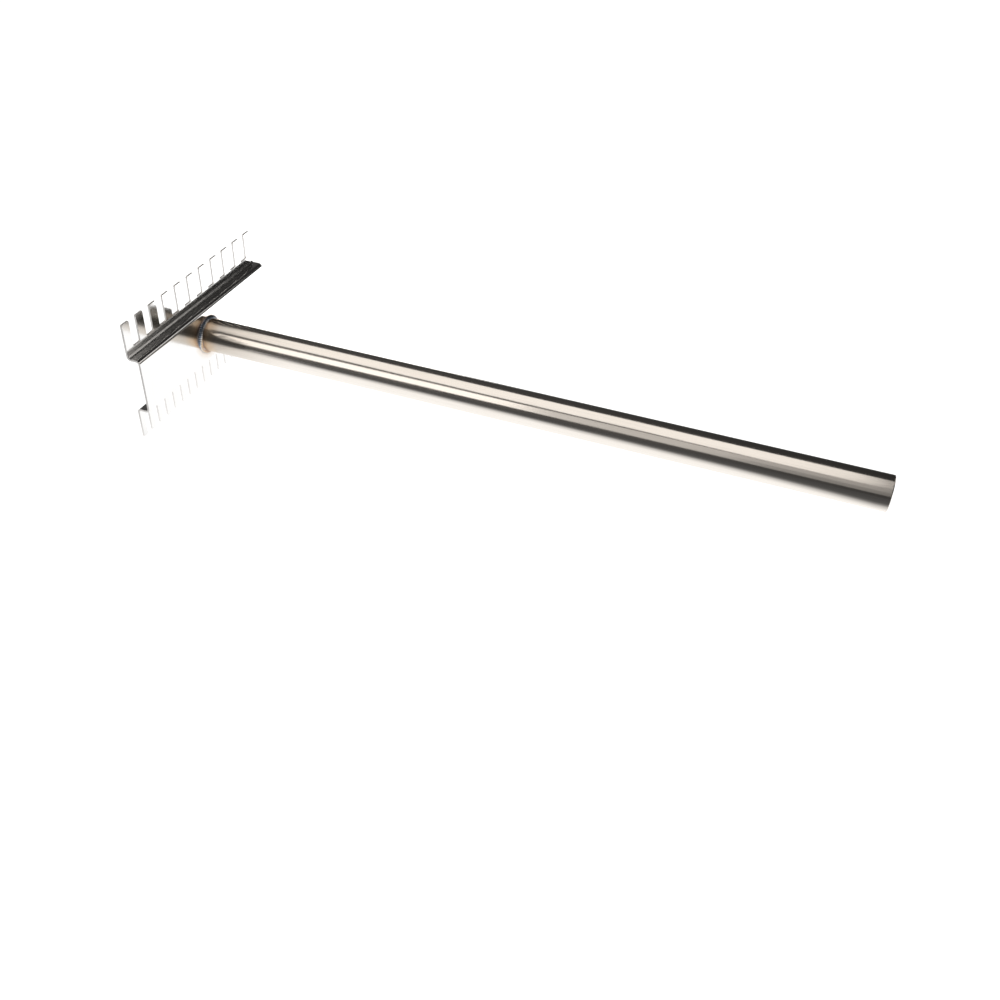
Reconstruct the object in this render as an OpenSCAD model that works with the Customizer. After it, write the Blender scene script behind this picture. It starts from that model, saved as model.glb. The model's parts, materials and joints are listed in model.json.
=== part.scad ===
// Two-sided comb scraper, all stainless steel: a bent sheet head with a coarse comb on one
// edge and a fine comb on the other, welded square onto the end of a round tube handle.
//
// X runs along the handle to its free end, Y along the combs, Z towards the coarse teeth.
// The origin is on the handle's axis, at the front face of the head's web.

/* [Sheet] */
// Thickness of the head's sheet
sheet_t = 1.5; // [1:0.1:1.8]
// Inside radius of the four bends
bend_r = 1.5; // [1:0.1:1.7]

/* [Head] */
// Height of the web, over the outsides of both flanges
web_h = 43.5; // [42:0.5:60]
// Depth of the channel, from the web's front face back to the lips' front faces
channel_d = 9; // [8:0.5:16]

/* [Coarse comb] */
// Number of coarse teeth
coarse_n = 11; // [10:1:15]
// Distance from one coarse tooth to the next
coarse_pitch = 16; // [15:0.5:20]
// Width of a coarse tooth
coarse_w = 8; // [6:0.5:9]
// Height of the coarse tips above the upper flange
coarse_h = 26.5; // [20:0.5:40]
// Height of the solid band below the coarse teeth
coarse_band = 6.3; // [5:0.1:9]

/* [Fine comb] */
// Number of fine teeth
fine_n = 17; // [12:1:17]
// Width of a fine tooth
fine_w = 4.8; // [4:0.1:5]
// Drop of the fine tips below the lower flange
fine_h = 23.4; // [20:0.1:35]
// Height of the solid band above the fine teeth
fine_band = 7.4; // [5:0.1:9]

/* [Tooth corners] */
// Radius of the corners at the tips
tip_r = 0.8; // [0.3:0.1:1.2]
// Radius of the corners at the bottom of each gap
gullet_r = 0.8; // [0.3:0.1:1]

/* [Handle] */
// Outside diameter of the tube
tube_d = 25.4; // [19:0.1:26]
// Wall thickness of the tube
tube_wall = 1.65; // [1.2:0.05:2.5]
// Length of the tube, from the web to the free end
tube_len = 512; // [300:1:900]
// Chamfer around the outside of the free end
rim_chamfer = 0.7; // [0.3:0.1:1]

/* [Weld] */
// Leg of the fillet weld around the foot of the tube
weld_leg = 2.5; // [2.2:0.1:4.5]
// How far the middle of the weld's face stands proud of a flat fillet
weld_crown = 0.3; // [0.2:0.05:0.5]
// How deep the weld has melted into the tube's wall
weld_root = 0.3; // [0.2:0.1:0.6]

/* [Hidden] */
// Width of the head, set by the coarse comb with a tooth flush at each end
head_w = (coarse_n - 1) * coarse_pitch + coarse_w;
// The fine comb fills the same width
fine_pitch = (head_w - fine_w) / (fine_n - 1);

bend_ro = bend_r + sheet_t;
half_web = web_h / 2;
tube_r = tube_d / 2;
bore_r = tube_r - tube_wall;

// The weld's face is an arc through both of its toes, weld_crown proud of the chord between
// them. The arc's centre lies weld_back inside the tube's wall and as far behind the web.
half_chord = weld_leg / sqrt(2);
weld_face_r = (half_chord ^ 2 + weld_crown ^ 2) / (2 * weld_crown);
weld_back = (weld_face_r - weld_crown) / sqrt(2) - weld_leg / 2;

// How far a cut runs past the faces it goes through
over = 1;

$fn = 96;

// Section of a square bend around the origin, turning from the x axis to the y axis
module bend() {
    intersection() {
        difference() {
            circle(r = bend_ro);
            circle(r = bend_r);
        }
        square(bend_ro);
    }
}

// One side of the head's section: half of the web, a flange behind it and the lip that
// stands up from the flange's back edge. x is depth, y is height.
module half_section(lip_h) {
    // half of the web
    translate([-sheet_t, 0]) square([sheet_t, half_web - bend_ro]);
    // bend from the web to the flange
    translate([-bend_ro, half_web - bend_ro]) bend();
    // flange
    translate([bend_r - channel_d, half_web - sheet_t])
        square([channel_d - bend_r - bend_ro, sheet_t]);
    // bend from the flange to the lip
    translate([bend_r - channel_d, half_web + bend_r]) rotate(180) bend();
    // lip
    translate([-channel_d - sheet_t, half_web + bend_r]) square([sheet_t, lip_h - bend_r]);
}

// The gap between two teeth, y = 0 at its floor: round corners at the floor, and a mouth that
// flares round the corners of the two tips beside it
module gap(width, depth) {
    translate([gullet_r, 0]) square([width - 2 * gullet_r, depth + over]);
    translate([0, gullet_r]) square([width, depth - gullet_r + over]);
    for (x = [gullet_r, width - gullet_r]) translate([x, gullet_r]) circle(r = gullet_r);
    difference() {
        translate([-tip_r, depth - tip_r]) square([width + 2 * tip_r, tip_r + over]);
        for (x = [-tip_r, width + tip_r]) translate([x, depth - tip_r]) circle(r = tip_r);
    }
}

// Every gap of a comb that stands up from the upper flange, as one cut through its lip. The
// first and last gaps lie outside the sheet and only round its end corners.
module comb_gaps(count, pitch, tooth_w, lip_h, band) {
    for (i = [-1 : count - 1])
        translate([over - channel_d, i * pitch + tooth_w - head_w / 2, half_web + band])
            rotate([90, 0, -90])
                mirror([1, 0, 0])
                    linear_extrude(sheet_t + 2 * over) gap(pitch - tooth_w, lip_h - band);
}

module comb_head() {
    color("silver") difference() {
        translate([0, head_w / 2, 0]) rotate([90, 0, 0]) linear_extrude(head_w) {
            half_section(coarse_h);
            mirror([0, 1]) half_section(fine_h);
        }
        comb_gaps(coarse_n, coarse_pitch, coarse_w, coarse_h, coarse_band);
        mirror([0, 0, 1]) comb_gaps(fine_n, fine_pitch, fine_w, fine_h, fine_band);
    }
}

// The tube is open at both ends. Its outside starts at the weld's toe: under the weld its
// wall has melted back by weld_root.
module handle_tube() {
    color("tan") rotate([0, 90, 0]) rotate_extrude() polygon([
        [bore_r, 0],
        [tube_r - weld_root, 0],
        [tube_r - weld_root, weld_leg],
        [tube_r, weld_leg],
        [tube_r, tube_len - rim_chamfer],
        [tube_r - rim_chamfer, tube_len],
        [bore_r, tube_len]
    ]);
}

// The ring of weld fills the corner between the tube and the web
module handle_weld() {
    color("slategray") rotate([0, 90, 0]) rotate_extrude() translate([tube_r, 0])
        intersection() {
            translate([-weld_root, 0]) square([weld_leg + weld_root, weld_leg]);
            translate([-weld_back, -weld_back]) circle(r = weld_face_r);
        }
}

comb_head();
handle_tube();
handle_weld();
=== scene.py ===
"""Comb scraper in polished stainless steel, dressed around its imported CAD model.

Three pieces take the place of the three CAD solids: the bent sheet head with its two combs, the
round tube handle, and the weld between them. X runs along the handle to its free end, Y along
the combs and Z towards the coarse teeth. Sizes are in metres unless a name says otherwise.
"""
import json
import math
from functools import cached_property

import bpy
import numpy as np
from mathutils import Matrix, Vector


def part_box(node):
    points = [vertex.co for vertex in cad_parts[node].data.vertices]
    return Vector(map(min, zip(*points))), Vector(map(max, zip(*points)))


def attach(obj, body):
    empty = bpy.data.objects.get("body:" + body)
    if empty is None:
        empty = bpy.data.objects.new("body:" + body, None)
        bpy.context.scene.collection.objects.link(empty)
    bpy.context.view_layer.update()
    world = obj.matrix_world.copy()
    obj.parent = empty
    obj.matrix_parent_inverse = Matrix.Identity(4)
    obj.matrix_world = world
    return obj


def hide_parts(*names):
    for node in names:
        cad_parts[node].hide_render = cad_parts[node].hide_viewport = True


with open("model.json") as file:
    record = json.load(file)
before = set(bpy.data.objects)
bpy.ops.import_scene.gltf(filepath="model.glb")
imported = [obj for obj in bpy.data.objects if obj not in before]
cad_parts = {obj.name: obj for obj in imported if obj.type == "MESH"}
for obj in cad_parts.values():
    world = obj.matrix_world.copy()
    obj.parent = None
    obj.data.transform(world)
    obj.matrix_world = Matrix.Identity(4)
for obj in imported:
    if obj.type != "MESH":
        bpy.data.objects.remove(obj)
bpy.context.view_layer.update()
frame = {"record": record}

bl_info = {
    "name": "Comb scraper",
    "version": (1, 0, 0),
    "blender": (4, 5, 0),
    "location": "View3D > Sidebar > Comb Scraper",
    "description": "Builds the head, handle and weld of a stainless comb scraper, and its studio",
    "category": "Object",
}

MM = 0.001
HEAD_LOW, HEAD_HIGH = (np.array(corner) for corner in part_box("comb_head"))
TUBE_LOW, TUBE_HIGH = (np.array(corner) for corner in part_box("handle_tube"))
WELD_LOW, WELD_HIGH = (np.array(corner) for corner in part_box("handle_weld"))
MOUNT_RADII = {m["name"]: m["dims"]["r_mm"] * MM for m in frame["record"]["mounts"]}
TUBE_RADIUS, BORE_RADIUS = MOUNT_RADII["handle_grip"], MOUNT_RADII["handle_bore"]
WELD_TOE = WELD_HIGH[0] / MM                # mm from the web to the weld's edge on the tube
SHEET = 1.5 * MM
RIM = 0.7 * MM


# ---------------------------------------------------------------- settings

def length(name, description, default, low=0.0):
    return bpy.props.FloatProperty(name=name, description=description, default=default, min=low,
                                   precision=5, subtype="DISTANCE", unit="LENGTH")


def colour(name, description, default):
    return bpy.props.FloatVectorProperty(name=name, description=description, default=default,
                                         size=3, min=0.0, max=1.0, subtype="COLOR")


def share(name, description, default):
    return bpy.props.FloatProperty(name=name, description=description, default=default,
                                   min=0.0, max=1.0, subtype="FACTOR")


class HeadSizes(bpy.types.PropertyGroup):
    sheet: length("Sheet", "Thickness of the sheet", SHEET)
    bend: length("Bend radius", "Inside radius of the four bends", 1.5 * MM)
    web_height: length("Web height", "Height over the outsides of both flanges", 43.5 * MM)
    corner: length("Tooth corner", "Radius of the tooth tips and of the gap floors", 0.8 * MM)
    broken_edge: length("Broken edge", "How far the cut edges are rounded over", 0.16 * MM)
    coarse_count: bpy.props.IntProperty(
        name="Coarse teeth", description="Number of teeth on the upper comb", default=11, min=2)
    coarse_width: length("Coarse tooth", "Width of one coarse tooth", 8.0 * MM)
    coarse_band: length("Coarse band", "Solid height between flange and coarse gaps", 6.3 * MM)
    fine_count: bpy.props.IntProperty(
        name="Fine teeth", description="Number of teeth on the lower comb", default=17, min=2)
    fine_width: length("Fine tooth", "Width of one fine tooth", 4.8 * MM)
    fine_band: length("Fine band", "Solid height between flange and fine gaps", 7.4 * MM)


class HandleSizes(bpy.types.PropertyGroup):
    wall: length("Wall", "Thickness of the tube's wall", TUBE_RADIUS - BORE_RADIUS)
    rim: length("Rim", "How far the free end's outer edge is rounded over", RIM)
    rim_inside: length("Inner rim", "How far the bore's edge is rounded over", 0.3 * MM)


class WeldSizes(bpy.types.PropertyGroup):
    crown: length("Crown", "How far the weld's face stands proud of a flat fillet", 0.3 * MM)
    ripples: bpy.props.IntProperty(
        name="Ripples", description="Number of ripples around the weld", default=54, min=8)
    ripple_depth: length("Ripple depth", "Depth of the ripples", 0.22 * MM)


class SteelLooks(bpy.types.PropertyGroup):
    sheet: colour("Sheet", "Colour of the polished sheet", (0.875, 0.868, 0.858))
    cut: colour("Cut edge", "Colour of the cut edges of the sheet", (0.92, 0.90, 0.88))
    tube: colour("Tube", "Colour of the polished tube", (0.83, 0.785, 0.735))
    bore: colour("Bore", "Colour of the unpolished bore", (0.62, 0.60, 0.57))
    weld: colour("Weld", "Colour of the bare weld metal", (0.62, 0.60, 0.58))
    straw: colour("Straw tint", "Palest heat tint, furthest from the weld", (0.62, 0.44, 0.27))
    brown: colour("Brown tint", "Middle heat tint", (0.34, 0.20, 0.11))
    blue: colour("Blue tint", "Strongest heat tint, at the weld", (0.11, 0.145, 0.20))
    sheet_roughness: share("Sheet roughness", "Roughness of the sheet", 0.11)
    tube_roughness: share("Tube roughness", "Roughness of the tube", 0.16)


class StageSettings(bpy.types.PropertyGroup):
    lens: bpy.props.FloatProperty(
        name="Lens", description="Focal length on a 36 mm sensor", default=37.8, unit="CAMERA")
    floor: colour("Floor", "Colour of the floor", (0.5, 0.5, 0.5))
    floor_glow: bpy.props.FloatProperty(
        name="Floor glow", description="Even light that the floor gives back", default=1.0)
    pool: bpy.props.FloatProperty(
        name="Pool", description="Brightness of the floor in reflections", default=1.2)
    pool_behind: length("Pool behind", "How far the bright floor reaches behind", 230.0 * MM)
    overhead: bpy.props.FloatProperty(
        name="Overhead light", description="Brightness of the overhead panel", default=1.04)
    overhead_height: length("Overhead height", "Height of the overhead panels", 0.95)
    back: bpy.props.FloatProperty(
        name="Back light", description="Brightness of the two panels behind", default=0.9)
    side: bpy.props.FloatProperty(
        name="Side light", description="Brightness of the panel beside the camera", default=1.35)
    fill: bpy.props.FloatProperty(
        name="Fill light", description="Brightness of the panel towards the free end",
        default=0.38)
    side_distance: length("Side distance", "From the handle to the side panels", 1.3)
    warmth: colour("Warmth", "Colour of the panels", (1.0, 0.965, 0.925))
    dusk_left: bpy.props.FloatProperty(
        name="Room, left", description="Brightness of the room past the head", default=0.105)
    dusk_right: bpy.props.FloatProperty(
        name="Room, right", description="Brightness of the room past the free end",
        default=0.036)


# ---------------------------------------------------------------- shader arithmetic

class Value:
    """One number or colour on its way through a material; arithmetic adds Math nodes."""

    def __init__(self, bench, socket):
        self.bench, self.socket = bench, socket

    def __add__(self, other):
        return self.bench.math("ADD", self, other)

    def __radd__(self, other):
        return self.bench.math("ADD", other, self)

    def __sub__(self, other):
        return self.bench.math("SUBTRACT", self, other)

    def __rsub__(self, other):
        return self.bench.math("SUBTRACT", other, self)

    def __mul__(self, other):
        return self.bench.math("MULTIPLY", self, other)

    def __rmul__(self, other):
        return self.bench.math("MULTIPLY", other, self)

    def __truediv__(self, other):
        return self.bench.math("DIVIDE", self, other)

    def __rtruediv__(self, other):
        return self.bench.math("DIVIDE", other, self)

    def __pow__(self, other):
        return self.bench.math("POWER", self, other)

    def __neg__(self):
        return 0.0 - self


class Bench:
    """The node tree of a material or world, with helpers that add a node and return its output."""

    def __init__(self, owner):
        self.owner = bpy.data.materials.new(owner) if isinstance(owner, str) else owner
        self.owner.use_nodes = True
        self.tree = self.owner.node_tree
        self.tree.nodes.clear()

    @cached_property
    def place(self):
        """The object's own coordinates, in metres."""
        return self.node("ShaderNodeTexCoord", output="Object")

    def node(self, kind, settings=None, inputs=None, output=0):
        """Adds one node, with its settings and inputs, and returns one of its outputs."""
        made = self.tree.nodes.new(kind)
        for key, value in (settings or {}).items():
            if key == "stops":
                ramp = made.color_ramp
                while len(ramp.elements) < len(value):
                    ramp.elements.new(1.0)
                for stop, (at, shade) in zip(ramp.elements, value):
                    stop.position, stop.color = at, (*shade, 1.0)
            else:
                setattr(made, key, value)
        for key, value in (inputs or {}).items():
            if isinstance(value, Value):
                self.tree.links.new(value.socket, made.inputs[key])
            else:
                made.inputs[key].default_value = value
        return Value(self, made.outputs[output]) if made.outputs else None

    def math(self, operation, *values):
        return self.node("ShaderNodeMath", {"operation": operation}, dict(enumerate(values)))

    def split(self, vector):
        made = self.node("ShaderNodeSeparateXYZ", None, {0: vector})
        return [Value(self, made.socket.node.outputs[i]) for i in range(3)]

    def in_mm(self, axes):
        """The object's own coordinates in mm, along the axes named."""
        place = dict(zip("xyz", self.split(self.place)))
        return [place[axis] / MM for axis in axes]

    def step(self, value, low, high):
        """0 below low, 1 above high, smooth between."""
        return self.node("ShaderNodeMapRange", {"interpolation_type": "SMOOTHSTEP"},
                         {"Value": value, "From Min": low, "From Max": high})

    def blend(self, factor, first, second):
        """The first colour where the factor is 0, the second where it is 1."""
        first, second = (c if isinstance(c, Value) else (*c, 1.0) for c in (first, second))
        return self.node("ShaderNodeMix", {"data_type": "RGBA"},
                         {0: factor, 6: first, 7: second}, 2)

    def noise(self, stretch, detail=2.0, roughness=0.5, offset=(0.0, 0.0, 0.0)):
        """Noise over the object's own coordinates, with stretch cells a metre along each axis."""
        placed = self.node("ShaderNodeMapping", None,
                           {"Vector": self.place, "Location": offset, "Scale": stretch})
        return self.node("ShaderNodeTexNoise", None,
                         {"Vector": placed, "Scale": 1.0, "Detail": detail,
                          "Roughness": roughness})

    def finish(self, base, roughness, bumps):
        """Ends the tree in one metal shader. bumps: (height, depth in metres) pairs, chained."""
        normal = {}
        for height, depth in bumps:
            normal = {"Normal": self.node("ShaderNodeBump", None, {
                "Height": height, "Distance": depth, "Strength": 1.0, **normal})}
        return self.end(self.node("ShaderNodeBsdfPrincipled", None, {
            "Base Color": base, "Roughness": roughness, "Metallic": 1.0, **normal}))

    def end(self, shader, kind="Material"):
        """Joins a shader to the tree's output, and returns the material or world."""
        self.node("ShaderNodeOutput" + kind, None, {"Surface": shader})
        return self.owner


# ---------------------------------------------------------------- steel finishes

# each heat tint: mm from the weld's toe where it starts and where it is full, and its share
HEAT_RINGS = (("straw", 14.0, 2.5, 0.7), ("brown", 4.5, 0.8, 0.5), ("blue", 1.2, 0.0, 0.5))
RING_WANDER = 3.0                           # mm that the rings wander in and out


def shaded(shade, *factors):
    """A colour times one factor, or times one factor for each channel."""
    return [c * f for c, f in zip(shade, factors * (3 // len(factors)))]


def heat_tint(bench, looks, base, distance, wobble, strength=1.0):
    """Straw, brown and blue rings over a base colour, by distance in mm from the weld's toe.

    Each ring is blended in by a smooth step of the distance, times its share and the strength.
    """
    wavy = distance + (wobble - 0.5) * RING_WANDER
    for tint, start, full, part in HEAT_RINGS:
        base = bench.blend(bench.step(wavy, start, full) * (part * strength), base,
                           getattr(looks, tint))
    return base


def polished_sheet(looks):
    """Bright sheet: faint rolling grain along the combs, smudges, rubbed tips, weld tint.

    The tint follows the distance from the weld's ring, and stops off the web. Roughness is the
    sheet's own, plus shares of smudge and grain, plus scratches at the tips and in the bends
    between flange and lip, which lie where the height over the middle less x is bend_line.
    """
    bench = Bench("polished sheet")
    x, y, z = bench.in_mm("xyz")
    smudge = bench.noise((42.0, 30.0, 42.0), 3.0, 0.6)
    grain = bench.noise((2600.0, 55.0, 2600.0), 2.0, 0.6)
    scratch = bench.noise((900.0, 900.0, 60.0), 3.0, 0.7, (3.0, 1.0, 7.0))
    tips_middle, rub_start, rub_full = 1.5, 40.0, 47.0
    tips = bench.step(bench.math("ABSOLUTE", z - tips_middle), rub_start, rub_full)
    around = (y * y + z * z) ** 0.5
    on_web = bench.step(x, -4.0, -2.5)
    from_weld = bench.math("ABSOLUTE", around - TUBE_RADIUS / MM) - WELD_TOE
    cooling, off_web, tint_strength = 2.4, 60.0, 0.42
    distance = from_weld * cooling + (1.0 - on_web) * off_web
    shade = bench.blend(smudge * 0.35, looks.sheet, shaded(looks.sheet, 0.86))
    base = heat_tint(bench, looks, shade, distance, bench.noise((260.0, 260.0, 260.0)),
                     tint_strength)
    bend_line = 30.05
    off_bend = bench.math("ABSOLUTE", bench.math("ABSOLUTE", z) - x - bend_line)
    pressed = bench.step(off_bend, 1.3, 0.5) * bench.step(x, -7.6, -8.4)
    rough = (looks.sheet_roughness + (smudge - 0.4) * 0.06 + (grain - 0.5) * 0.04
             + tips * scratch * 0.16 + bench.step(distance, 6.0, 0.0) * 0.10
             + pressed * scratch * 0.30)
    waviness, grain_depth, scratch_depth = 0.06 * MM, 0.0003 * MM, 0.012 * MM
    return bench.finish(base, bench.math("MAXIMUM", rough, 0.02), bumps=(
        (bench.noise((24.0, 16.0, 24.0), 1.0, 0.4), waviness),
        (grain, grain_depth),
        (scratch * tips, scratch_depth)))


def cut_edge(looks):
    """Edge left by the cutter: duller, with fine striations across the thickness.

    Colour goes towards a darker one by shares of both noises, and roughness up by the first.
    """
    bench = Bench("cut edge")
    stripe = bench.noise((40.0, 5200.0, 5200.0), 3.0, 0.65)
    broad = bench.noise((600.0, 600.0, 600.0), 2.0)
    base = bench.blend(stripe * 0.5 + broad * 0.25, looks.cut, shaded(looks.cut, 0.78))
    stripe_depth = 0.012 * MM
    return bench.finish(base, 0.40 + stripe * 0.22, bumps=((stripe, stripe_depth),))


def polished_tube(looks):
    """Polished tube: drawn lines along it, smudges, painted shade and weld tint near the foot,
    dull bore.

    The painted shade darkens the tube by a smooth step of the distance from the weld, standing in
    for the dimmer light near the head, and is deeper on the lower half, standing in for the head's
    shadow on the floor it mirrors. The bore is where the distance from the axis is under the
    middle of the wall. Roughness is the tube's own, plus shares of smudge and lines, plus more at
    the weld and in the bore.
    """
    bench = Bench("polished tube")
    x, y, z = bench.in_mm("xyz")
    lines = bench.noise((16.0, 2400.0, 2400.0), 3.0, 0.62)
    fine = bench.noise((30.0, 7000.0, 7000.0), 2.0, 0.6, (5.0, 2.0, 1.0))
    smudge = bench.noise((18.0, 46.0, 46.0), 3.0, 0.55)
    distance = x - WELD_TOE
    shade = bench.blend(smudge * 0.5, looks.tube, shaded(looks.tube, 0.93, 0.91, 0.88))
    shade = bench.blend(bench.step(lines, 0.52, 0.72) * 0.35, shade, shaded(looks.tube, 0.80))
    # painted shade: the whole tube darkens towards the head, standing in for the dimmer light
    # there
    foot_shade_end, under_shade_end, under_shade_full = 85.0, 75.0, 5.0
    shade = bench.blend(bench.step(distance, foot_shade_end, 0.0) * 0.8, shade,
                        shaded(looks.tube, 0.84, 0.81, 0.77))
    # painted shade: the lower half darkens near the head, where the floor it mirrors lies in the
    # head's shadow
    painted_under_shade = bench.step(distance, under_shade_end, under_shade_full) * bench.step(z, 3.5, -1.0)
    shade = bench.blend(painted_under_shade * 0.5, shade, shaded(looks.tube, 0.50, 0.47, 0.43))
    base = heat_tint(bench, looks, shade, distance, bench.noise((150.0, 260.0, 260.0)))
    in_bore = bench.step((y * y + z * z) ** 0.5, 11.9, 11.5)
    base = bench.blend(in_bore * 0.85, base, looks.bore)
    rough = (looks.tube_roughness + (smudge - 0.5) * 0.10 + (lines - 0.5) * 0.10
             + bench.step(distance, 9.0, 0.0) * 0.08 + in_bore * 0.38)
    line_depth, fine_depth = 0.007 * MM, 0.0014 * MM
    return bench.finish(base, bench.math("MAXIMUM", rough, 0.03), bumps=(
        (lines, line_depth), (fine, fine_depth)))


def tinted_weld(looks):
    """Weld metal: brown and blue at the web, bare metal, then straw and brown at the tube.

    The place in that row of colours is the share of the weld's leg along x, moved a little by
    height and by two noises, and patches of bare metal lie over it.
    """
    bench = Bench("tinted weld")
    x, z = bench.in_mm("xz")
    mottle = bench.noise((420.0, 420.0, 420.0), 3.0, 0.6)
    patch = bench.noise((90.0, 90.0, 90.0), 1.0, 0.5, (2.0, 5.0, 9.0))
    across = (x * (0.6 / WELD_TOE) + 0.3 - z * 0.02 + (mottle - 0.5) * 0.4
              + (patch - 0.5) * 0.7)
    film = bench.node("ShaderNodeValToRGB", {"stops": [
        (0.0, looks.brown), (0.2, looks.blue), (0.45, shaded(looks.blue, 1.4)),
        (0.58, looks.weld), (0.76, looks.straw), (1.0, looks.brown)]}, {0: across})
    base = bench.blend(bench.step(mottle, 0.35, 0.75) * 0.45, film, looks.weld)
    return bench.finish(base, 0.16 + mottle * 0.16, bumps=((mottle, 0.03 * MM),))


# ---------------------------------------------------------------- surfaces

def make_piece(name, points, faces, normals, materials, slots=None, smooth=None):
    """A mesh object from arrays: blocks of faces, each with its material slot and smoothness."""
    mesh = bpy.data.meshes.new(name)
    polygons = [face for block in faces for face in np.asarray(block).tolist()]
    mesh.from_pydata(np.asarray(points).tolist(), [], polygons)
    for material in materials:
        mesh.materials.append(material)
    if slots is not None:
        index = np.concatenate([np.full(len(b), s, np.int32) for b, s in zip(faces, slots)])
        mesh.polygons.foreach_set("material_index", index)
    rounded = np.concatenate([np.full(len(b), bool(r))
                              for b, r in zip(faces, smooth or [1] * len(faces))])
    mesh.polygons.foreach_set("use_smooth", rounded)
    if normals is not None:
        mesh.normals_split_custom_set_from_vertices(np.asarray(normals, float).tolist())
    mesh.update()
    piece = bpy.data.objects.new(name, mesh)
    bpy.context.scene.collection.objects.link(piece)
    return piece


def ring_faces(rows, columns):
    """Quads of a grid of rows x columns points, whose rows close on themselves."""
    first = np.arange(rows - 1)[:, None] * columns
    a = (first + np.arange(columns)).ravel()
    b = (first + (np.arange(columns) + 1) % columns).ravel()
    return np.stack([a, b, b + columns, a + columns], 1)


def comb_outline(count, tooth, width, corner, floor, tip):
    """Outline of one comb from the -Y end to the +Y end, as (y, height, ny, nheight) rows.

    Each tooth is two tip corners, and between two teeth lie two gap-floor corners. Every corner
    is a quarter circle: centre + corner * (sin a, cos a), with its normal away from the metal.
    """
    steps = 8
    pitch = (width - tooth) / (count - 1)
    turn = np.linspace(0.0, math.pi / 2, steps)
    sine, cosine = np.sin(turn), np.cos(turn)
    middle = -width / 2 + tooth / 2 + np.arange(count)[:, None] * pitch

    rise = np.stack([middle - (tooth / 2 - corner) - corner * cosine,
                     np.broadcast_to(tip - corner + corner * sine, (count, steps)),
                     np.broadcast_to(-cosine, (count, steps)),
                     np.broadcast_to(sine, (count, steps))], 2)
    fall = rise[:, ::-1] * [1, 1, -1, 1]
    fall[..., 0] = 2 * middle - rise[:, ::-1, 0]
    gap_left = middle + tooth / 2
    down = np.stack([gap_left + corner - corner * cosine,
                     np.broadcast_to(floor + corner - corner * sine, (count, steps)),
                     np.broadcast_to(cosine, (count, steps)),
                     np.broadcast_to(sine, (count, steps))], 2)
    up = down[:, ::-1] * [1, 1, -1, 1]
    up[..., 0] = 2 * middle + pitch - down[:, ::-1, 0]
    rows = np.concatenate([rise, fall, down, up], 1).reshape(-1, 4)
    return rows[:-2 * steps]                                 # no gap after the last tooth


def half_path(sizes):
    """Half of the head's section, from the web's middle to the lip's start.

    Straight web, bend of 90 degrees with its outside to the front, straight flange, and bend of
    90 degrees the other way. Each row is x and z on the front face, and the normal's x and z.
    The back face lies one sheet behind, against the normal.
    """
    t, r = sizes.sheet, sizes.bend
    knee = sizes.web_height / 2 - r - t
    turn = np.linspace(0.0, math.pi / 2, 13)
    depth = -HEAD_LOW[0] - t
    web = np.array([[0.0, z, 1.0, 0.0] for z in (0.0, knee * 0.5)])
    to_flange = np.stack([-(r + t) + (r + t) * np.cos(turn), knee + (r + t) * np.sin(turn),
                          np.cos(turn), np.sin(turn)], 1)
    to_lip = np.stack([-depth + r - r * np.sin(turn),
                       sizes.web_height / 2 + r - r * np.cos(turn),
                       np.sin(turn), np.cos(turn)], 1)
    return np.concatenate([web, to_flange, to_lip])


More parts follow.
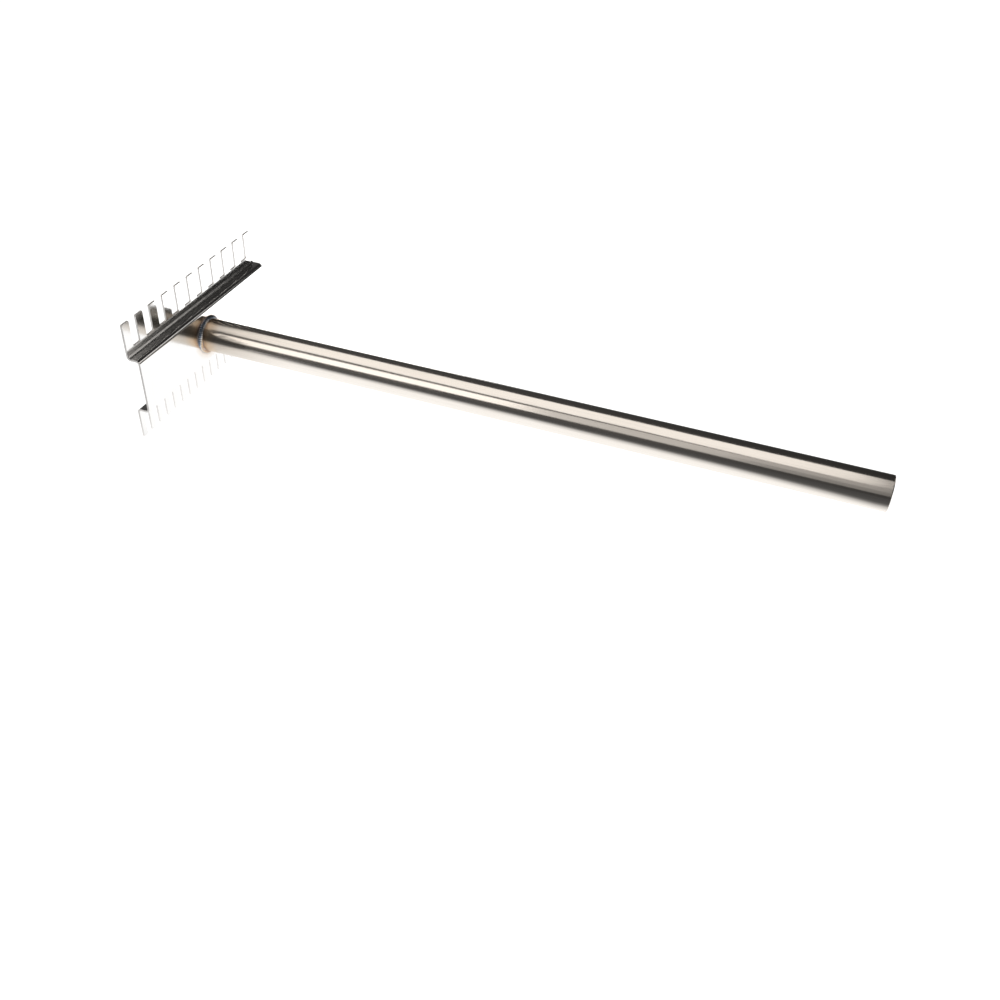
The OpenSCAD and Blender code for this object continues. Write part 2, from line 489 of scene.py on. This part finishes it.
def build_head(sizes, materials):
    """The sheet head as one closed skin.

    The front face follows the section path times the width; the back face is the same one
    sheet thickness behind it, along the normal. Lips with their teeth are flat, and end in the
    comb outline. All round the outline runs the broken edge: a section of two quarter circles
    of radius broken_edge joined by the flat cut, carried along the outline.
    """
    t, e = sizes.sheet, sizes.broken_edge
    width = HEAD_HIGH[1] - HEAD_LOW[1]
    half = width / 2
    upper = half_path(sizes)
    lower = upper[::-1] * [1, -1, 1, -1]
    section = np.concatenate([lower, upper[1:]])            # bottom lip up to top lip
    flange = sizes.web_height / 2
    top = comb_outline(sizes.coarse_count, sizes.coarse_width, width, sizes.corner,
                       flange + sizes.coarse_band, HEAD_HIGH[2])
    low = comb_outline(sizes.fine_count, sizes.fine_width, width, sizes.corner,
                       flange + sizes.fine_band, -HEAD_LOW[2])
    lip_x = section[-1, 0]

    # the outline as one loop: its points, their face normals and their outward normals
    def lip_points(comb, sign):
        n = len(comb)
        return (np.stack([np.full(n, lip_x), comb[:, 0], sign * comb[:, 1]], 1),
                np.tile([1.0, 0.0, 0.0], (n, 1)),
                np.stack([np.zeros(n), comb[:, 2], sign * comb[:, 3]], 1))

    def side_points(rows, side):
        n = len(rows)
        return (np.stack([rows[:, 0], np.full(n, side * half), rows[:, 1]], 1),
                np.stack([rows[:, 2], np.zeros(n), rows[:, 3]], 1),
                np.tile([0.0, side, 0.0], (n, 1)))

    parts = [lip_points(low, -1.0),                          # along the bottom, -Y to +Y
             side_points(section, 1.0),                      # up the +Y side
             tuple(a[::-1] for a in lip_points(top, 1.0)),   # along the top, +Y to -Y
             side_points(section[::-1], -1.0)]               # down the -Y side
    place, face, out = (np.concatenate([p[i] for p in parts]) for i in range(3))
    starts = np.cumsum([0] + [len(p[0]) for p in parts])
    n_loop = len(place)

    # the edge's section, from the front face over the cut to the back face
    arc = np.linspace(0.0, math.pi / 2, 5)
    into = np.concatenate([e * (1 - np.sin(arc)), e * (1 - np.sin(arc))[::-1]])
    deep = np.concatenate([e * (1 - np.cos(arc)), t - e * (1 - np.cos(arc))[::-1]])
    lean_face = np.concatenate([np.cos(arc), -np.cos(arc)[::-1]])
    lean_out = np.concatenate([np.sin(arc), np.sin(arc)[::-1]])
    skin = (place[None] - into[:, None, None] * out[None] - deep[:, None, None] * face[None])
    skin_normal = lean_face[:, None, None] * face[None] + lean_out[:, None, None] * out[None]
    n_arc = len(into)
    edge_quads = ring_faces(n_arc, n_loop)[:, ::-1]

    front = np.arange(n_loop)
    back = (n_arc - 1) * n_loop + np.arange(n_loop)

    def panels(loop, flip):
        right = loop[starts[1]:starts[2]]                    # bottom to top on the +Y side
        left = loop[starts[3]:starts[4]][::-1]               # bottom to top on the -Y side
        strips = np.stack([left[:-1], right[:-1], right[1:], left[1:]], 1)
        bottom = np.concatenate([loop[starts[0]:starts[1]], [right[0], left[0]]])
        crown = np.concatenate([[left[-1], right[-1]], loop[starts[2]:starts[3]]])
        blocks = [strips, bottom[None], crown[None]]
        return [b[:, ::-1] for b in blocks] if flip else blocks

    blocks = [edge_quads] + panels(front, False) + panels(back, True)
    return make_piece("sheet_head", skin.reshape(-1, 3), blocks, skin_normal.reshape(-1, 3),
                      materials, [1] + [0] * (len(blocks) - 1))


def revolve(name, stations, columns, materials):
    """A closed profile of (x, radius, nx, nradius) stations carried round the X axis."""
    turn = np.linspace(0.0, 2 * math.pi, columns, endpoint=False)
    x, r, nx, nr = (stations[:, i, None] for i in range(4))
    cosine, sine = np.cos(turn), np.sin(turn)
    points = np.stack([np.broadcast_to(x, (len(x), columns)), r * cosine, r * sine], 2)
    normals = np.stack([np.broadcast_to(nx, (len(x), columns)), nr * cosine, nr * sine], 2)
    last = (len(stations) - 1) * columns
    a = np.arange(columns)
    b = (a + 1) % columns
    quads = np.concatenate([ring_faces(len(stations), columns),
                            np.stack([last + a, last + b, b, a], 1)])
    return make_piece(name, points.reshape(-1, 3), [quads], normals.reshape(-1, 3), materials)


def build_handle(sizes, materials):
    """The tube: its wall's section carried round the axis, with both rims rounded over.

    Section, starting at the foot: along the outside, a quarter circle of radius rim, across the
    free end, a quarter circle of radius rim_inside, back down the bore, and out over the foot.
    """
    outer, bore = TUBE_RADIUS, TUBE_RADIUS - sizes.wall
    foot, end = TUBE_LOW[0], TUBE_HIGH[0]
    sharp, count = 0.02 * MM, 40
    turn = np.linspace(0.0, math.pi / 2, 9)
    along = np.linspace(foot + sharp, end - sizes.rim, count)
    outside = np.stack([along, np.full(count, outer), np.zeros(count), np.ones(count)], 1)
    rim = np.stack([end - sizes.rim + sizes.rim * np.sin(turn),
                    outer - sizes.rim + sizes.rim * np.cos(turn),
                    np.sin(turn), np.cos(turn)], 1)
    inner = np.stack([end - sizes.rim_inside + sizes.rim_inside * np.cos(turn),
                      bore + sizes.rim_inside - sizes.rim_inside * np.sin(turn),
                      np.cos(turn), -np.sin(turn)], 1)
    back = np.linspace(end - sizes.rim_inside, foot + sharp, count)[1:]
    inside = np.stack([back, np.full(count - 1, bore), np.zeros(count - 1),
                       -np.ones(count - 1)], 1)
    foot_ring = np.array([[foot, bore + sharp, -1.0, 0.0], [foot, outer - sharp, -1.0, 0.0]])
    stations = np.concatenate([outside, rim[1:], inner, inside, foot_ring])
    return revolve("tube_handle", stations, 192, materials)


def build_weld(sizes, materials):
    """The weld: a fillet face with overlapping ripples, carried round the tube.

    The face is an arc between the toe on the web and the toe on the tube. Ripple depth follows
    1 - |sin| of the angle round the tube, whose phase lags towards both toes, so that each
    ripple is a crescent; slow sine sums vary the leg and the depth round the ring.
    """
    leg = WELD_HIGH[0] - WELD_LOW[0]
    tube = TUBE_RADIUS
    columns, rows = sizes.ripples * 14, 15
    turn = np.linspace(0.0, 2 * math.pi, columns, endpoint=False)[None]
    across = np.linspace(0.0, 1.0, rows)[:, None]
    wander = (0.35 * np.sin(3 * turn + 0.7) + 0.3 * np.sin(7 * turn + 2.1)
              + 0.2 * np.sin(13 * turn + 4.0))
    bow = 4.0 * (across - 0.5) ** 2
    phase = sizes.ripples * turn + 0.5 * wander - 1.5 * bow
    crest = np.abs(np.sin(phase / 2.0)) ** 0.8
    reach = leg * (0.955 + 0.035 * wander)
    # chord from the toe on the web to the toe on the tube; both toes are sunk in the steel
    sunk_in_tube, sunk_in_web, hidden_depth, web_gap = 0.12 * MM, 0.02 * MM, 0.28 * MM, 0.01 * MM
    radius = tube - sunk_in_tube + reach * (1 - across)
    depth = -sunk_in_web + reach * across
    swell = sizes.crown * 0.9 * (1 - bow) * (1 + 0.2 * wander)
    dip = sizes.ripple_depth * (1 - crest) * (1 - 0.75 * bow)
    lift = swell - dip
    diag = math.sqrt(0.5)
    x = depth + lift * diag
    r = radius + lift * diag
    grid = np.stack([x, r * np.cos(turn), r * np.sin(turn)], 2)
    # one ring inside the tube's wall closes the skin, out of sight
    hidden = tube - hidden_depth
    under = np.stack([np.full(columns, web_gap), hidden * np.cos(turn[0]),
                      hidden * np.sin(turn[0])], 1)
    points = np.concatenate([grid.reshape(-1, 3), under])
    quads = ring_faces(rows, columns)
    a = np.arange(columns)
    b = (a + 1) % columns
    last, low = (rows - 1) * columns, rows * columns
    close = np.concatenate([np.stack([last + a, last + b, low + b, low + a], 1),
                            np.stack([low + a, low + b, b, a], 1)])
    return make_piece("weld_bead", points, [quads, close], None, materials, smooth=[1, 0])


# ---------------------------------------------------------------- stage

# Where the floor touches the object: x and z of the fine tips and of the free end's lower rim.
FLOOR_CONTACT = ((HEAD_LOW[0] + SHEET, HEAD_LOW[2]), (TUBE_HIGH[0] - RIM, TUBE_LOW[2]))
FLOOR_GAP = 0.05 * MM
FLOOR_REACH = 5.0
SURROUND_RADIUS = 9.0

CAMERA_RIGHT = (0.93868, 0.34257, 0.03904)
CAMERA_UP = (-0.24301, 0.57700, 0.77976)
CAMERA_BACK = (0.24460, -0.74143, 0.62486)
CAMERA_SPOT = (0.44089, -0.59899, 0.41598)

# share of the way out over the pool, and how bright it is there
POOL_FALL = ((0.0, 1.0), (0.14, 0.98), (0.235, 0.60), (0.33, 0.20), (0.45, 0.08), (1.0, 0.06))
POOL_SPAN = 6.0                             # pool depths that the whole row above covers

# name, x from and to, y from and to, share of the overhead light
OVERHEAD_STRIPS = (
    ("overhead_a", -0.56, -0.30, -0.42, 0.60, 1.0),
    ("overhead_b", -0.30, -0.10, -0.465, 0.54, 1.0),
    ("overhead_c", -0.10, 0.25, -0.495, 0.49, 1.0),
    ("overhead_d", 0.25, 0.585, -0.56, 0.43, 1.0),
    ("overhead_end", 0.585, 1.50, -0.50, 0.50, 0.12))
# name, centre, target, size, share of the back light
BACK_PANELS = (
    ("back_right", (1.62, 1.05, 0.72), (0.4, 0.0, 0.0), (1.10, 0.75), 1.0),
    ("back_left", (-1.75, 0.70, 0.85), (0.0, 0.0, 0.0), (0.80, 0.70), 0.5))
# name, x from and to, lower and upper edge in degrees over the handle, the light and its share
SIDE_STRIPS = (
    ("side_panel", -1.08, -0.06, 19.0, 52.0, "side", 1.0),
    ("side_end", -0.06, 0.36, 19.0, 55.0, "side", 0.4),
    ("fill_high", 0.36, 0.66, 36.0, 60.0, "fill", 1.0),
    ("fill_low", 0.36, 0.66, 17.0, 36.0, "fill", 0.6))


def floor_height(x):
    """Height of the floor: the line through both points of contact, less a small gap."""
    (x0, z0), (x1, z1) = FLOOR_CONTACT
    return z0 + (x - x0) * (z1 - z0) / (x1 - x0) - FLOOR_GAP


def place_stage(name, mesh, material, hidden):
    """An object of the stage, with some kinds of ray switched off."""
    mesh.materials.append(material)
    piece = bpy.data.objects.new(name, mesh)
    bpy.context.scene.collection.objects.link(piece)
    for kind in hidden:
        setattr(piece, "visible_" + kind, False)


def stage_sheet(name, material, hidden):
    """A flat sheet as wide as the floor, on the floor's slope."""
    far = FLOOR_REACH
    corners = [(x, y, floor_height(x)) for x, y in
               ((-far, -far), (far, -far), (far, far), (-far, far))]
    mesh = bpy.data.meshes.new(name)
    mesh.from_pydata(corners, [], [(0, 1, 2, 3)])
    place_stage(name, mesh, material, hidden)


def glowing_floor(settings):
    """A matt floor that also gives back an even light."""
    bench = Bench("floor")
    return bench.end(bench.node("ShaderNodeBsdfPrincipled", None, {
        "Base Color": (*settings.floor, 1.0), "Roughness": 1.0, "Specular IOR Level": 0.0,
        "Emission Color": (1.0, 1.0, 1.0, 1.0), "Emission Strength": settings.floor_glow}))


def pool_of_light(settings):
    """What polished steel mirrors of the floor: bright under the object, falling off around it.

    Ahead of the handle the brightness falls with q, the distance from the handle's axis over
    the pool's own depth there, which narrows towards the free end; behind, it holds further
    near the head, and is brighter there.
    """
    bench = Bench("pool of light")
    x, y = bench.in_mm("xy")
    depth, narrowing, least = 75.0, 0.125, 12.0
    along = bench.math("MAXIMUM", depth - narrowing * x, least)
    front = along + bench.step(x, 25.0, 0.0) * 10.0 + bench.step(x, -50.0, -90.0) * 90.0
    ahead = -y / front
    by_head = bench.step(x, 175.0, 105.0)
    behind = y / (along + by_head * (settings.pool_behind / MM))
    q = bench.math("MAXIMUM", ahead, behind)
    fall = bench.node("ShaderNodeValToRGB", {"stops": [(at, (level,) * 3)
                                                      for at, level in POOL_FALL]},
                      {0: q / POOL_SPAN})
    strength = settings.pool * (1.0 + by_head * bench.step(y, 42.0, 75.0) * 0.9)
    return bench.end(bench.node("ShaderNodeEmission", None,
                                {"Color": fall, "Strength": strength}))


def build_surround():
    """A white sphere about the stage that only the camera sees, so low views end in white."""
    columns, rows, pole = 48, 25, 0.01
    turn = np.linspace(0.0, 2 * math.pi, columns, endpoint=False)
    rise = np.linspace(-math.pi / 2 + pole, math.pi / 2 - pole, rows)[:, None]
    points = SURROUND_RADIUS * np.stack([
        np.cos(rise) * np.cos(turn), np.cos(rise) * np.sin(turn),
        np.broadcast_to(np.sin(rise), (rows, columns))], 2)
    mesh = bpy.data.meshes.new("surround")
    mesh.from_pydata(points.reshape(-1, 3).tolist(), [], ring_faces(rows, columns).tolist())
    bench = Bench("surround white")
    white = bench.end(bench.node("ShaderNodeEmission", None, {"Strength": 1.0}))
    place_stage("surround", mesh, white, ("diffuse", "glossy", "transmission", "shadow"))


def area_light(name, centre, target, size, radiance, tint):
    """A rectangular softbox at centre, facing target; power is radiance times pi times area."""
    light = bpy.data.lights.new(name, "AREA")
    light.shape = "RECTANGLE"
    light.size, light.size_y = size
    light.energy = radiance * math.pi * size[0] * size[1]
    light.color = tint
    lamp = bpy.data.objects.new(name, light)
    bpy.context.scene.collection.objects.link(lamp)
    away = np.array(centre, float) - np.array(target, float)
    away /= np.linalg.norm(away)
    side = np.array([1.0, 0.0, 0.0]) - away[0] * away
    side /= np.linalg.norm(side)
    lamp.matrix_world = facing(side, np.cross(away, side), away, centre)
    lamp.visible_camera = False


def facing(right, up, back, spot):
    """The placement whose own axes are right, up and back, at spot."""
    return Matrix([[right[i], up[i], back[i], spot[i]] for i in range(3)] + [[0, 0, 0, 1]])


def build_camera(settings):
    """The camera, which looks down on the head from the free end's side."""
    scene = bpy.context.scene
    camera = bpy.data.objects.new("camera", bpy.data.cameras.new("camera"))
    camera.data.sensor_width = 36.0
    camera.data.lens = settings.lens
    camera.data.clip_start, camera.data.clip_end = 0.01, 50.0
    camera.matrix_world = facing(CAMERA_RIGHT, CAMERA_UP, CAMERA_BACK, CAMERA_SPOT)
    scene.collection.objects.link(camera)
    scene.camera = camera


def build_room(settings):
    """The world: dim, fading along x from the head's side to the free end's, and behind."""
    world = bpy.data.worlds.new("studio")
    room = Bench(world)
    x, y, _ = room.split(room.node("ShaderNodeTexCoord", output="Generated"))
    dusk = room.node("ShaderNodeMapRange", None, {
        "Value": x, "From Min": -0.45, "From Max": 0.2, "To Min": settings.dusk_left,
        "To Max": settings.dusk_right})
    dimmed = dusk * (1.0 - room.step(y, 0.3, 0.65) * 0.42)
    bpy.context.scene.world = room.end(room.node("ShaderNodeBackground", None, {
        "Color": (1.0, 0.98, 0.96, 1.0), "Strength": dimmed}), "World")


def build_lights(settings):
    """The panels overhead, behind and beside the handle; a side panel's height is twice its
    distance times the tangent of half the angle it spans."""
    for name, start, stop, front, back, part in OVERHEAD_STRIPS:
        centre = ((start + stop) / 2, (front + back) / 2, settings.overhead_height)
        area_light(name, centre, (centre[0], centre[1], 0.0), (stop - start, back - front),
                   settings.overhead * part, settings.warmth)
    for name, centre, target, size, part in BACK_PANELS:
        area_light(name, centre, target, size, part * settings.back, settings.warmth)
    away = settings.side_distance
    for name, start, stop, low, high, light, part in SIDE_STRIPS:
        rise = math.radians((low + high) / 2)
        middle = (start + stop) / 2
        centre = (middle, -away * math.cos(rise), away * math.sin(rise))
        tall = 2 * away * math.tan(math.radians((high - low) / 2))
        area_light(name, centre, (middle, 0.0, 0.0), (stop - start, tall),
                   part * getattr(settings, light), settings.warmth)


def build_stage(settings):
    """Camera, room, floor, the pool that only reflections see, surround and lights."""
    bpy.context.scene.view_settings.view_transform = "Standard"
    bpy.context.scene.view_settings.look = "None"
    build_camera(settings)
    build_room(settings)
    stage_sheet("floor", glowing_floor(settings), ("glossy",))
    stage_sheet("light_pool", pool_of_light(settings), ("camera", "diffuse", "shadow"))
    build_surround()
    build_lights(settings)


# ---------------------------------------------------------------- operators

def stand_for(piece, node):
    """Puts a finished piece on the fixed body, in place of its CAD node."""
    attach(piece, "root")
    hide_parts(node)


class SCRAPER_OT_head(bpy.types.Operator):
    """Build the bent sheet head with its coarse and fine combs"""
    bl_idname = "scraper.head"
    bl_label = "Sheet head"

    def execute(self, context):
        looks = context.scene.scraper_looks
        piece = build_head(context.scene.scraper_head, [polished_sheet(looks), cut_edge(looks)])
        stand_for(piece, "comb_head")
        return {"FINISHED"}


class SCRAPER_OT_handle(bpy.types.Operator):
    """Build the round tube handle"""
    bl_idname = "scraper.handle"
    bl_label = "Tube handle"

    def execute(self, context):
        looks = context.scene.scraper_looks
        piece = build_handle(context.scene.scraper_handle, [polished_tube(looks)])
        stand_for(piece, "handle_tube")
        return {"FINISHED"}


class SCRAPER_OT_weld(bpy.types.Operator):
    """Build the rippled weld around the foot of the handle"""
    bl_idname = "scraper.weld"
    bl_label = "Weld"

    def execute(self, context):
        piece = build_weld(context.scene.scraper_weld,
                           [tinted_weld(context.scene.scraper_looks)])
        stand_for(piece, "handle_weld")
        return {"FINISHED"}


class SCRAPER_OT_stage(bpy.types.Operator):
    """Build the pale floor, the soft lights and the camera"""
    bl_idname = "scraper.stage"
    bl_label = "Stage"

    def execute(self, context):
        build_stage(context.scene.scraper_stage)
        return {"FINISHED"}


class SCRAPER_PT_panel(bpy.types.Panel):
    """Sizes, looks and steps of the comb scraper"""
    bl_idname = "SCRAPER_PT_panel"
    bl_label = "Comb Scraper"
    bl_space_type = "VIEW_3D"
    bl_region_type = "UI"
    bl_category = "Comb Scraper"

    def draw(self, context):
        for operator in OPERATORS:
            self.layout.operator(operator.bl_idname)
        for name, group in SETTINGS.items():
            box = self.layout.box()
            for key in group.__annotations__:
                box.prop(getattr(context.scene, name), key)


SETTINGS = {"scraper_head": HeadSizes, "scraper_handle": HandleSizes,
            "scraper_weld": WeldSizes, "scraper_looks": SteelLooks,
            "scraper_stage": StageSettings}
OPERATORS = [SCRAPER_OT_head, SCRAPER_OT_handle, SCRAPER_OT_weld, SCRAPER_OT_stage]


def register():
    for name, group in SETTINGS.items():
        bpy.utils.register_class(group)
        setattr(bpy.types.Scene, name, bpy.props.PointerProperty(type=group))
    for item in OPERATORS + [SCRAPER_PT_panel]:
        bpy.utils.register_class(item)


def unregister():
    for item in reversed(OPERATORS + [SCRAPER_PT_panel]):
        bpy.utils.unregister_class(item)
    for name, group in reversed(list(SETTINGS.items())):
        delattr(bpy.types.Scene, name)
        bpy.utils.unregister_class(group)


def main():
    register()
    bpy.ops.scraper.head()
    bpy.ops.scraper.handle()
    bpy.ops.scraper.weld()
    bpy.ops.scraper.stage()


if __name__ == "__main__":
    main()
